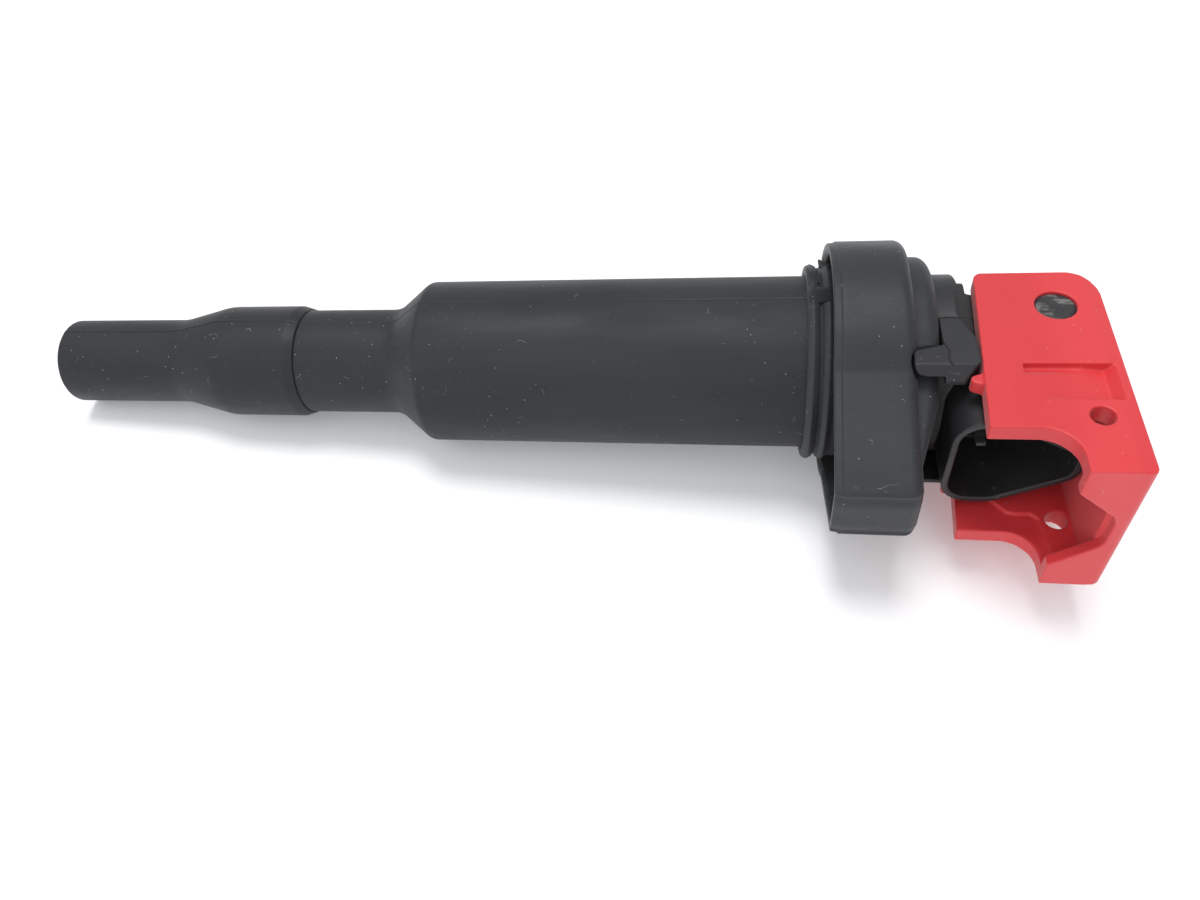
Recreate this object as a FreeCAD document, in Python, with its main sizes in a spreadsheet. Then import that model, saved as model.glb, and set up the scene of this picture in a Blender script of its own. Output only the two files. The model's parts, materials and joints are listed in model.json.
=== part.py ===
"""Pencil ignition coil with a locking lever on its connector head.

Units are millimetres.  +X runs along the coil, from the spark plug boot to the head, the connector
socket opens towards -Y and +Z is parallel to the lever's pivot.  The origin is the centre of the
boot's open mouth.
"""
import FreeCAD, Part
import math
import os
import re

import Sketcher

SIZES = {
    # spark plug boot
    "boot_radius": 8.27, "boot_straight": 25.0, "boot_cone_end": 35.0,
    "collar_radius": 10.8, "collar_end": 49.5, "boot_end": 51.6,
    "plug_bore_radius": 5.1, "plug_bore_length": 31.0, "relief_radius": 5.9,
    "spigot_start": 40.0, "spigot_radius": 8.2,
    # coil body
    "neck_radius": 9.95, "neck_end": 70.5, "cone_end": 77.0, "body_radius": 15.23, "body_end": 148.0,
    "sleeve_bore": 14.3, "throat_radius": 6.55, "gap": 0.05,
    "case_radius": 13.5, "case_wall": 1.0, "case_end": 160.0,
    "nozzle_radius": 6.5, "nozzle_bore": 5.3, "nozzle_end": 71.0, "case_cone_end": 79.0,
    "shield_start": 80.0, "shield_end": 146.0, "shield_wall": 0.7, "shield_slit": 1.0,
    # high-voltage end
    "tip_start": 32.5, "tip_radius": 4.0, "tip_length": 1.5,
    "spring_radius": 4.3, "spring_wire": 0.9, "spring_end": 52.4,
    "resistor_end": 66.0, "resistor_radius": 3.4, "resistor_cap": 2.0,
    "terminal_end": 71.5, "terminal_radius": 4.7, "terminal_wall": 0.5,
    # windings and magnetic circuit
    "core_radius": 4.6, "core_start": 84.0, "core_end": 150.0,
    "magnet_length": 2.8, "buffer_length": 2.3, "stack_gap": 0.1,
    "secondary_bore": 4.7, "secondary_tube": 5.8, "secondary_start": 74.0, "secondary_end": 157.0,
    "secondary_flange": 8.9, "secondary_first": 80.0, "secondary_last": 152.0, "flange_width": 1.4,
    "secondary_top": 8.6, "secondary_bottom": 7.6,
    "primary_bore": 9.2, "primary_tube": 10.0, "primary_start": 80.0, "primary_end": 158.0,
    "primary_flange": 12.3, "primary_last": 150.0, "primary_turns": 11.7,
    # seal
    "seal_radius": 21.1, "seal_root_y": 6.0, "seal_root_z": 14.0, "seal_root_radius": 4.3,
    "seal_nose_y": 30.4, "seal_nose_z": 3.1, "seal_nose_radius": 3.5,
    "seal_rim": 148.7, "seal_wall": 2.0, "seal_floor": 157.5, "seal_end": 160.9,
    "seal_inset": 2.9, "seal_lip_end": 165.1, "collar_start": 145.0, "collar_outer": 16.6,
    "bead_radius": 17.3, "bead_width": 1.6, "bead_pitch": 2.6,
    "lip_slope_y": 17.0, "lip_slope_end": 161.0,
    # head housing
    "ferrule_start": 148.3, "ferrule_radius": 15.15, "ferrule_bore": 13.55, "deck_start": 163.0,
    "base_inset": 6.1, "base_end": 169.2, "tower_half": 11.2, "tower_top": 9.4, "tower_end": 171.3,
    "block_bottom": 9.0, "block_side": 186.9, "block_corner": 1.4,
    "cavity_start": 171.6, "cavity_bottom": 7.2, "cavity_top": 0.7, "cavity_half": 9.3,
    "passage_radius": 6.6,
    # connector socket
    "socket_mouth": 22.7, "socket_floor": 9.5, "socket_wall": 1.15,
    "socket_left_x": 171.7, "socket_left_z": 5.0, "socket_left_radius": 4.9,
    "socket_mid_x": 174.3, "socket_mid_z": 6.4, "socket_mid_radius": 3.5,
    "socket_nose_x": 183.4, "socket_nose_z": 1.0, "socket_nose_radius": 3.7,
    "pin_x": 175.0, "pin_pitch": 5.0, "pin_thick": 0.8, "pin_wide": 1.5, "pin_tip": 14.0,
    # lever and the pieces that it meets
    "pivot_x": 183.37, "pivot_y": 1.53, "trunnion_radius": 3.1, "trunnion_half": 14.2,
    "pivot_hole": 3.16, "lever_half": 14.68, "cheek_inner": 11.8,
    "lever_left": 171.9, "lever_foot": 169.4, "lever_top": 6.45, "lever_right": 190.6,
    "lever_front": 35.1, "lever_corner": 1.5, "lever_crown": 5.2, "cheek_bottom": 27.3,
    "notch_x": 176.7, "notch_radius": 5.0,
    "wall_inner": 187.5, "front_wall": 1.8, "window_x": 184.9, "window_z": 1.9,
    "window_radius": 3.3, "window_wide": 12.3, "window_left": 177.5,
    "small_hole_x": 185.38, "small_hole_y": 24.82, "small_hole": 1.77,
    "recess_left": 178.0, "recess_deep": 187.9, "recess_right": 189.5, "recess_top": 14.4,
    "recess_bottom": 21.6, "recess_depth": 1.6,
    "groove_left": 176.3, "groove_bottom": 16.7, "groove_depth": 1.1,
    "nub_x": 169.5, "nub_y": 17.3, "nub_radius": 0.8, "nub_outer": 14.2,
    # stop blocks
    "stop_left": 165.3, "stop_right": 170.4, "stop_top": 4.5, "stop_bottom": 16.7,
    "stop_outer": 15.0, "stop_base": 12.0, "stop_nose": 160.7, "stop_nose_base": 13.2,
    "swing_radius": 15.0,
    # electronics
    "board_y": 3.5, "board_thick": 1.0, "board_start": 173.0, "board_end": 184.0, "board_half": 8.8,
    "chip_x": 178.5, "chip_size": 6.0, "chip_thick": 1.5, "spreader_size": 9.0, "spreader_thick": 0.6,
    "potting_start": 184.2, "potting_end": 186.2, "lead_radius": 0.5, "lead_z": 5.0,
}


def value(text):
    """Work out a sum such as 'neck_end + gap' from the driving dimensions."""
    total = 0.0
    for sign, word in re.findall(r"([+-]?)\s*([A-Za-z_]\w*|\d+\.?\d*)", str(text)):
        number = SIZES[word] if word in SIZES else float(word)
        total += -number if sign == "-" else number
    return total


def formula(text):
    """Write the same sum as an expression on the spreadsheet."""
    return re.sub(r"([A-Za-z_]\w*)", r"Sizes.\1", str(text))


def make_sheet(doc):
    """Put every driving dimension in a spreadsheet cell with an alias."""
    sheet = doc.addObject("Spreadsheet::Sheet", "Sizes")
    for row, (name, number) in enumerate(SIZES.items(), start=1):
        sheet.set(f"A{row}", name)
        sheet.set(f"B{row}", str(number))
        sheet.setAlias(f"B{row}", name)
    doc.recompute()


def make_body(doc, label):
    body = doc.addObject("PartDesign::Body", label)
    body.Label = label
    return body


def origin_item(body, role):
    """Find one of the body's own origin planes or axes by its role."""
    return next(item for item in body.Origin.OriginFeatures if item.Role == role)


def new_sketch(body, plane, offset="0"):
    """Attach an empty sketch to an origin plane, moved along the plane's normal."""
    sketch = body.newObject("Sketcher::SketchObject", "Sketch")
    sketch.AttachmentSupport = [(origin_item(body, plane), "")]
    sketch.MapMode = "FlatFace"
    sketch.setExpression("AttachmentOffset.Base.z", formula(offset))
    return sketch


def pin_point(sketch, geometry, corner, axis, text):
    """Hold one coordinate of a sketch point at a sum of driving dimensions."""
    number = value(text)
    if abs(number) < 1e-9:
        line = -2 if axis == "X" else -1
        sketch.addConstraint(Sketcher.Constraint("PointOnObject", geometry, corner, line))
        return
    ends = (-1, 1, geometry, corner) if number > 0 else (geometry, corner, -1, 1)
    index = sketch.addConstraint(Sketcher.Constraint("Distance" + axis, *ends, abs(number)))
    sign = "" if number > 0 else "-1 * "
    sketch.setExpression(f"Constraints[{index}]", f"{sign}({formula(text)})")


def draw_polygon(sketch, corners):
    """Draw a closed polygon whose corners are pairs of sums of driving dimensions."""
    places = [FreeCAD.Vector(value(a), value(b), 0) for a, b in corners]
    first = sketch.GeometryCount
    for start, end in zip(places, places[1:] + places[:1]):
        sketch.addGeometry(Part.LineSegment(start, end), False)
    for index, (a, b) in enumerate(corners):
        line = first + index
        previous = first + (index - 1) % len(corners)
        sketch.addConstraint(Sketcher.Constraint("Coincident", previous, 2, line, 1))
        pin_point(sketch, line, 1, "X", a)
        pin_point(sketch, line, 1, "Y", b)


def draw_circle(sketch, x, y, radius):
    """Draw a circle held by its centre and radius."""
    centre = FreeCAD.Vector(value(x), value(y), 0)
    circle = sketch.addGeometry(Part.Circle(centre, FreeCAD.Vector(0, 0, 1), value(radius)), False)
    index = sketch.addConstraint(Sketcher.Constraint("Radius", circle, value(radius)))
    sketch.setExpression(f"Constraints[{index}]", formula(radius))
    pin_point(sketch, circle, 3, "X", x)
    pin_point(sketch, circle, 3, "Y", y)


def tangent_angle(start, end):
    """Direction of the outward normal of the outer tangent from one circle to the next."""
    run = end[0] - start[0]
    heading = math.atan2(run.y, run.x)
    return heading - math.acos((start[1] - end[1]) / run.Length)


def draw_belt(sketch, circles):
    """Draw the belt round circles (x, y, radius) listed anticlockwise: arcs joined by tangents."""
    rounds = [(FreeCAD.Vector(value(x), value(y), 0), value(r)) for x, y, r in circles]
    count = len(rounds)
    leave = [tangent_angle(rounds[i], rounds[(i + 1) % count]) for i in range(count)]
    axis = FreeCAD.Vector(0, 0, 1)
    arcs = []
    lines = []
    for i, (centre, radius) in enumerate(rounds):
        begin = leave[i - 1]
        end = begin + (leave[i] - begin) % (2 * math.pi)
        arc = Part.ArcOfCircle(Part.Circle(centre, axis, radius), begin, end)
        arcs.append(sketch.addGeometry(arc, False))
    for i, (centre, radius) in enumerate(rounds):
        following, next_radius = rounds[(i + 1) % count]
        normal = FreeCAD.Vector(math.cos(leave[i]), math.sin(leave[i]), 0)
        segment = Part.LineSegment(centre + normal * radius, following + normal * next_radius)
        lines.append(sketch.addGeometry(segment, False))
    for i, (x, y, r) in enumerate(circles):
        sketch.addConstraint(Sketcher.Constraint("Tangent", arcs[i], 2, lines[i], 1))
        sketch.addConstraint(Sketcher.Constraint("Tangent", lines[i], 2, arcs[(i + 1) % count], 1))
        index = sketch.addConstraint(Sketcher.Constraint("Radius", arcs[i], value(r)))
        sketch.setExpression(f"Constraints[{index}]", formula(r))
        pin_point(sketch, arcs[i], 3, "X", x)
        pin_point(sketch, arcs[i], 3, "Y", y)


def revolve(body, corners):
    """Turn a profile drawn in X and radius about the coil's axis."""
    sketch = new_sketch(body, "XY_Plane")
    draw_polygon(sketch, corners)
    feature = body.newObject("PartDesign::Revolution", "Revolution")
    feature.Profile = sketch
    feature.ReferenceAxis = (sketch, ["H_Axis"])
    feature.Angle = 360
    return feature


def extrude(body, kind, sketch, length, both=False, backwards=False):
    """Pad or pocket a sketch, to one side of its plane or evenly to both."""
    feature = body.newObject("PartDesign::" + kind, kind)
    feature.Profile = sketch
    feature.setExpression("Length", formula(length))
    feature.Midplane = both
    feature.Reversed = backwards
    return feature


def checked_cut(doc, body, sketch, length, both=False, backwards=False):
    """Pocket a sketch and make sure that it removed material."""
    doc.recompute()
    before = body.Shape.Volume
    feature = extrude(body, "Pocket", sketch, length, both, backwards)
    doc.recompute()
    if body.Shape.Volume > before - 1e-6:
        raise RuntimeError(f"{body.Label}: a pocket removed nothing")
    return feature


def box(doc, label, low, high):
    """Make a block from two opposite corners given as sums of driving dimensions."""
    block = doc.addObject("Part::Box", label)
    block.Label = label
    for name, axis, start, end in zip(("Length", "Width", "Height"), "xyz", low, high):
        block.setExpression(name, f"({formula(end)}) - ({formula(start)})")
        block.setExpression(f"Placement.Base.{axis}", formula(start))
    return block


def rod(doc, label, start, end, radius, y="0", z="0"):
    """Make a cylinder that runs along X."""
    bar = doc.addObject("Part::Cylinder", label)
    bar.Label = label
    bar.Placement = FreeCAD.Placement(FreeCAD.Vector(), FreeCAD.Rotation(FreeCAD.Vector(0, 1, 0), 90))
    bar.setExpression("Radius", formula(radius))
    bar.setExpression("Height", f"({formula(end)}) - ({formula(start)})")
    for axis, place in zip("xyz", (start, y, z)):
        bar.setExpression(f"Placement.Base.{axis}", formula(place))
    return bar


def make_plug_boot(doc):
    """Rubber boot: the spark plug's bore, a relief for the contact and a collar over the body."""
    body = make_body(doc, "plug_boot")
    revolve(body, [
        ("0", "plug_bore_radius"), ("0", "boot_radius - 0.5"), ("0.5", "boot_radius"),
        ("boot_straight", "boot_radius"), ("boot_cone_end", "collar_radius"),
        ("collar_end", "collar_radius"), ("boot_end", "neck_radius + 0.3"),
        ("boot_end", "spigot_radius + gap"), ("spigot_start - gap", "spigot_radius + gap"),
        ("spigot_start - gap", "relief_radius"), ("plug_bore_length + 0.8", "relief_radius"),
        ("plug_bore_length", "plug_bore_radius"),
    ])
    return body


def make_body_sleeve(doc):
    """Rubber skin of the coil's body, with the spigot that the boot's collar grips."""
    body = make_body(doc, "body_sleeve")
    revolve(body, [
        ("spigot_start", "throat_radius"), ("spigot_start", "spigot_radius"),
        ("boot_end + gap", "spigot_radius"), ("boot_end + gap", "neck_radius"),
        ("neck_end", "neck_radius"), ("cone_end", "body_radius - 0.2"),
        ("cone_end + 1.2", "body_radius"), ("body_end", "body_radius"),
        ("body_end", "sleeve_bore"), ("case_cone_end - 0.1", "sleeve_bore"),
        ("nozzle_end - 0.1", "throat_radius"),
    ])
    return body


def make_coil_case(doc):
    """Plastic case: a wide tube round the windings and a nozzle down to the spring."""
    body = make_body(doc, "coil_case")
    revolve(body, [
        ("spigot_start", "nozzle_bore"), ("spigot_start", "nozzle_radius"),
        ("nozzle_end", "nozzle_radius"), ("case_cone_end", "case_radius"),
        ("case_end", "case_radius"), ("case_end", "case_radius - case_wall"),
        ("case_cone_end + 0.8", "case_radius - case_wall"), ("nozzle_end + 0.8", "nozzle_bore"),
    ])
    return body


def make_shield_tube(doc):
    """Rolled steel tube that closes the magnetic circuit, slit along its length."""
    body = make_body(doc, "shield_tube")
    revolve(body, [
        ("shield_start", "case_radius + gap"), ("shield_start", "case_radius + shield_wall"),
        ("shield_end", "case_radius + shield_wall"), ("shield_end", "case_radius + gap"),
    ])
    sketch = new_sketch(body, "XY_Plane")
    draw_polygon(sketch, [
        ("shield_start - 1", "-0.5"), ("shield_end + 1", "-0.5"),
        ("shield_end + 1", "shield_slit - 0.5"), ("shield_start - 1", "shield_slit - 0.5"),
    ])
    checked_cut(doc, body, sketch, "case_radius + shield_wall + 1", backwards=True)
    return body


def make_contact_tip(doc):
    """Brass button that the spark plug's terminal pushes against the spring."""
    body = make_body(doc, "contact_tip")
    revolve(body, [
        ("tip_start", "0"), ("tip_start", "tip_radius - 0.6"), ("tip_start + 0.6", "tip_radius"),
        ("tip_start + tip_length", "tip_radius"), ("tip_start + tip_length", "0"),
    ])
    return body


def make_contact_spring(doc):
    """Envelope of the spring between the contact button and the resistor."""
    body = make_body(doc, "contact_spring")
    revolve(body, [
        ("tip_start + tip_length", "spring_radius - spring_wire"),
        ("tip_start + tip_length", "spring_radius"),
        ("spring_end", "spring_radius"), ("spring_end", "spring_radius - spring_wire"),
    ])
    return body


def make_resistor(doc):
    """Ceramic interference resistor and its two brass end caps."""
    rod(doc, "suppression_resistor", "spring_end + resistor_cap + gap",
        "resistor_end - resistor_cap - gap", "resistor_radius")
    rod(doc, "resistor_cap_lower", "spring_end", "spring_end + resistor_cap", "terminal_radius")
    rod(doc, "resistor_cap_upper", "resistor_end - resistor_cap", "resistor_end", "terminal_radius")


def make_terminal(doc):
    """Brass cup that carries the high voltage from the winding to the resistor."""
    body = make_body(doc, "hv_terminal")
    revolve(body, [
        ("resistor_end + gap", "0"), ("resistor_end + gap", "terminal_radius"),
        ("terminal_end", "terminal_radius"), ("terminal_end", "terminal_radius - terminal_wall"),
        ("resistor_end + terminal_wall + gap", "terminal_radius - terminal_wall"),
        ("resistor_end + terminal_wall + gap", "0"),
    ])
    return body


def make_core(doc):
    """Laminated rod core between two magnets and two rubber buffers."""
    rod(doc, "iron_core", "core_start", "core_end", "core_radius")
    low = "core_start - stack_gap"
    high = "core_end + stack_gap"
    rod(doc, "magnet_lower", f"{low} - magnet_length", low, "core_radius")
    rod(doc, "magnet_upper", high, f"{high} + magnet_length", "core_radius")
    below = f"{low} - magnet_length - stack_gap"
    above = f"{high} + magnet_length + stack_gap"
    rod(doc, "core_buffer_lower", f"{below} - buffer_length", below, "core_radius")
    rod(doc, "core_buffer_upper", above, f"{above} + buffer_length", "core_radius")


def make_secondary(doc):
    """Secondary bobbin, closed at its lower end, and its fine winding."""
    bobbin = make_body(doc, "secondary_bobbin")
    revolve(bobbin, [
        ("secondary_start", "0"), ("secondary_start", "secondary_tube"),
        ("secondary_first", "secondary_tube"), ("secondary_first", "secondary_flange"),
        ("secondary_first + flange_width", "secondary_flange"),
        ("secondary_first + flange_width", "secondary_tube"),
        ("secondary_last", "secondary_tube"), ("secondary_last", "secondary_flange"),
        ("secondary_last + flange_width", "secondary_flange"),
        ("secondary_last + flange_width", "secondary_tube"), ("secondary_end", "secondary_tube"),
        ("secondary_end", "secondary_bore"), ("secondary_start + 1", "secondary_bore"),
        ("secondary_start + 1", "0"),
    ])
    winding = make_body(doc, "secondary_winding")
    revolve(winding, [
        ("secondary_first + flange_width + gap", "secondary_tube + gap"),
        ("secondary_first + flange_width + gap", "secondary_bottom"),
        ("secondary_last - gap", "secondary_top"), ("secondary_last - gap", "secondary_tube + gap"),
    ])
    return bobbin


def make_primary(doc):
    """Primary bobbin and its coarse copper winding."""
    bobbin = make_body(doc, "primary_bobbin")
    revolve(bobbin, [
        ("primary_start", "primary_bore"), ("primary_start", "primary_flange"),
        ("primary_start + flange_width", "primary_flange"),
        ("primary_start + flange_width", "primary_tube"), ("primary_last", "primary_tube"),
        ("primary_last", "primary_flange"), ("primary_last + flange_width", "primary_flange"),
        ("primary_last + flange_width", "primary_tube"), ("primary_end", "primary_tube"),
        ("primary_end", "primary_bore"),
    ])
    winding = make_body(doc, "primary_winding")
    revolve(winding, [
        ("primary_start + flange_width + gap", "primary_tube + gap"),
        ("primary_start + flange_width + gap", "primary_turns"),
        ("primary_last - gap", "primary_turns"), ("primary_last - gap", "primary_tube + gap"),
    ])
    return bobbin


def nose_belt(inset):
    """Outline of the seal's blunt nose, drawn in by an inset."""
    root = f"seal_root_radius - {inset}"
    nose = f"seal_nose_radius - {inset}"
    return [
        ("-seal_root_y", "seal_root_z", root), ("-seal_nose_y", "seal_nose_z", nose),
        ("-seal_nose_y", "-seal_nose_z", nose), ("-seal_root_y", "-seal_root_z", root),
    ]


def seal_layers(body, start, inset):
    """Two sketches that together outline the seal: its round back and its nose."""
    back = new_sketch(body, "YZ_Plane", start)
    draw_circle(back, "0", "0", f"seal_radius - {inset}")
    nose = new_sketch(body, "YZ_Plane", start)
    draw_belt(nose, nose_belt(inset))
    return back, nose


def make_seal(doc):
    """Rubber seal: a skirt round a beaded collar, a floor and a smaller upper lip."""
    body = make_body(doc, "flange_seal")
    for skirt in seal_layers(body, "seal_rim", "0"):
        extrude(body, "Pad", skirt, "seal_end - seal_rim")
    for lip in seal_layers(body, "seal_end", "seal_inset"):
        extrude(body, "Pad", lip, "seal_lip_end - seal_end")
    slope = new_sketch(body, "XY_Plane")
    draw_polygon(slope, [
        ("seal_lip_end", "-lip_slope_y"), ("lip_slope_end", "-seal_nose_y - 0.6"),
        ("lip_slope_end", "-seal_nose_y - 8"), ("seal_lip_end + 2", "-seal_nose_y - 8"),
        ("seal_lip_end + 2", "-lip_slope_y"),
    ])
    checked_cut(doc, body, slope, "seal_radius + seal_radius", both=True)
    for hollow in seal_layers(body, "seal_floor", "seal_wall"):
        checked_cut(doc, body, hollow, "seal_floor - seal_rim + 1")
    revolve(body, [
        ("collar_start", "body_radius + gap"), ("collar_start", "collar_outer"),
        ("collar_start + 0.4", "bead_radius"), ("collar_start + bead_width", "bead_radius"),
        ("collar_start + bead_width + 0.4", "collar_outer"),
        ("collar_start + bead_pitch", "collar_outer"),
        ("collar_start + bead_pitch + 0.4", "bead_radius"),
        ("collar_start + bead_pitch + bead_width", "bead_radius"),
        ("collar_start + bead_pitch + bead_width + 0.4", "collar_outer"),
        ("seal_floor + 1", "collar_outer"), ("seal_floor + 1", "body_radius + gap"),
    ])
    bore = new_sketch(body, "YZ_Plane", "seal_lip_end")
    draw_circle(bore, "0", "0", "body_radius + gap")
    checked_cut(doc, body, bore, "seal_lip_end - collar_start + 1")
    for below in (False, True):
        notch = new_sketch(body, "XY_Plane", "-stop_nose_base" if below else "stop_nose_base")
        draw_belt(notch, stop_nose_belt("0.15"))
        checked_cut(doc, body, notch, "8", backwards=not below)
    return body


def stop_nose_belt(extra):
    """Outline of the small hook on a stop block, grown by a clearance."""
    radius = f"0.8 + {extra}"
    return [
        ("stop_nose + 0.8", "-12.6", radius), ("stop_nose + 0.8", "-14.9", radius),
        ("stop_left + 1", "-16.0", radius), ("stop_left + 1", "-11.3", radius),
    ]


def socket_belt(inset):
    """Outline of the connector socket in X and Z: wide beside the seal, narrow at the far end."""
    right = [
        ("socket_nose_x", "socket_nose_z", f"socket_nose_radius - {inset}"),
        ("socket_mid_x", "socket_mid_z", f"socket_mid_radius - {inset}"),
        ("socket_left_x", "socket_left_z", f"socket_left_radius - {inset}"),
    ]
    return right + [(x, "-" + z, radius) for x, z, radius in reversed(right)]


def pin_offsets():
    """Sums that place the three connector pins along Z."""
    return {"pin_supply": "-pin_pitch", "pin_ground": "0", "pin_trigger": "pin_pitch"}


def make_housing(doc):
    """Head moulding: ferrule, base, electronics box, socket, trunnions and stop blocks."""
    body = make_body(doc, "head_housing")
    ferrule = new_sketch(body, "YZ_Plane", "ferrule_start")
    draw_circle(ferrule, "0", "0", "ferrule_radius")
    extrude(body, "Pad", ferrule, "base_end - ferrule_start")
    base = new_sketch(body, "YZ_Plane", "seal_lip_end + gap")
    draw_belt(base, [
        ("0", "0", "seal_radius - base_inset"),
        ("-9.0", "8.3", "3.2"), ("-9.0", "-8.3", "3.2"),
    ])
    extrude(body, "Pad", base, "base_end - seal_lip_end - gap")
    tower = new_sketch(body, "YZ_Plane", "base_end")
    draw_belt(tower, [
        ("tower_top - 2.5", "-tower_half + 2.5", "2.5"), ("tower_top - 2.5", "tower_half - 2.5", "2.5"),
        ("-block_bottom + 0.5", "tower_half - 0.5", "0.5"),
        ("-block_bottom + 0.5", "-tower_half + 0.5", "0.5"),
    ])
    extrude(body, "Pad", tower, "tower_end - base_end")
    block = new_sketch(body, "XY_Plane")
    draw_belt(block, [
        ("base_end + 1.5", "4.0", "1.4"), ("base_end + 1.5", "-block_bottom + 1.4", "1.4"),
        ("block_side - block_corner", "-block_bottom + block_corner", "block_corner"),
        ("pivot_x", "-pivot_y", "block_side - pivot_x"),
    ])
    extrude(body, "Pad", block, "tower_half + tower_half", both=True)
    socket = new_sketch(body, "XZ_Plane", "socket_floor - 1.0")
    draw_belt(socket, socket_belt("0"))
    extrude(body, "Pad", socket, "socket_mouth - socket_floor + 1.0")
    add_stop_blocks(body)
    for below in (False, True):
        swing = new_sketch(body, "XY_Plane", "-tower_half - 0.2" if below else "tower_half + 0.2")
        draw_circle(swing, "pivot_x", "-pivot_y", "swing_radius")
        checked_cut(doc, body, swing, "6", backwards=not below)
    trunnions = new_sketch(body, "XY_Plane")
    draw_circle(trunnions, "pivot_x", "-pivot_y", "trunnion_radius")
    extrude(body, "Pad", trunnions, "trunnion_half + trunnion_half", both=True)
    cut_housing(doc, body)
    return body


def add_stop_blocks(body):
    """Blocks that the closed lever rests against, each with a hook over the seal's lip."""
    for below in (False, True):
        stop = new_sketch(body, "XY_Plane", "-stop_base" if below else "stop_base")
        draw_polygon(stop, [
            ("stop_left", "-stop_top"), ("stop_left", "-stop_bottom"),
            ("stop_right - 2.1", "-stop_bottom"), ("stop_right", "-stop_bottom + 2.2"),
            ("stop_right", "-stop_top"),
        ])
        extrude(body, "Pad", stop, "stop_outer - stop_base", backwards=below)
        nose = new_sketch(body, "XY_Plane", "-stop_nose_base - 0.3" if below else "stop_nose_base + 0.3")
        draw_belt(nose, stop_nose_belt("0"))
        extrude(body, "Pad", nose, "stop_outer - stop_nose_base - 0.3", backwards=below)


def cut_housing(doc, body):
    """Open the ferrule's bore, the electronics box, the socket and the pins' slots."""
    bore = new_sketch(body, "YZ_Plane", "deck_start")
    draw_circle(bore, "0", "0", "ferrule_bore")
    checked_cut(doc, body, bore, "deck_start - ferrule_start + 1")
    passage = new_sketch(body, "YZ_Plane", "cavity_start + 0.5")
    draw_circle(passage, "-0.6", "0", "passage_radius")
    checked_cut(doc, body, passage, "cavity_start - deck_start + 1")
    cavity = new_sketch(body, "YZ_Plane", "block_side + 1")
    draw_belt(cavity, [
        ("cavity_top - 1", "cavity_half - 1", "1"), ("-cavity_bottom + 1", "cavity_half - 1", "1"),
        ("-cavity_bottom + 1", "1 - cavity_half", "1"), ("cavity_top - 1", "1 - cavity_half", "1"),
    ])
    checked_cut(doc, body, cavity, "block_side - cavity_start + 1")
    socket = new_sketch(body, "XZ_Plane", "socket_mouth + 1")
    draw_belt(socket, socket_belt("socket_wall"))
    checked_cut(doc, body, socket, "socket_mouth - socket_floor + 1")
    for offset in pin_offsets().values():
        slot = new_sketch(body, "XZ_Plane", "socket_floor + 1")
        draw_polygon(slot, [
            ("pin_x - pin_wide", f"{offset} - pin_thick"), ("pin_x", f"{offset} - pin_thick"),
            ("pin_x", offset), ("pin_x - pin_wide", offset),
        ])
        checked_cut(doc, body, slot, "socket_floor - cavity_bottom + 2")


def make_pins(doc):
    """Three flat connector pins from the board to the socket."""
    for label, offset in pin_offsets().items():
        box(doc, label, ("pin_x - pin_wide", "-pin_tip", f"{offset} - pin_thick"),
            ("pin_x", "-board_y - gap", offset))


def make_electronics(doc):
    """Driver board, power chip, heat spreader, the winding's lead posts and the potting."""
    box(doc, "driver_board", ("board_start", "-board_y", "-board_half"),
        ("board_end", "board_thick - board_y", "board_half"))
    half = "chip_x - 3.0"
    box(doc, "driver_chip", (half, "board_thick - board_y", "-3.0"),
        (f"{half} + chip_size", "board_thick + chip_thick - board_y", "chip_size - 3.0"))
    wide = "chip_x - 4.5"
    box(doc, "heat_spreader", (wide, "board_thick + chip_thick - board_y + gap", "-4.5"),
        (f"{wide} + spreader_size", "board_thick + chip_thick + spreader_thick - board_y + gap",
         "spreader_size - 4.5"))
    box(doc, "head_potting", ("potting_start", "-cavity_bottom + 0.3", "-cavity_half + 0.3"),
        ("potting_end", "cavity_top - 0.3", "cavity_half - 0.3"))
    for label, place in (("lead_post_start", "lead_z"), ("lead_post_end", "-lead_z")):
        rod(doc, label, "primary_end + gap", "board_start - gap", "lead_radius", "-3.0", place)


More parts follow.
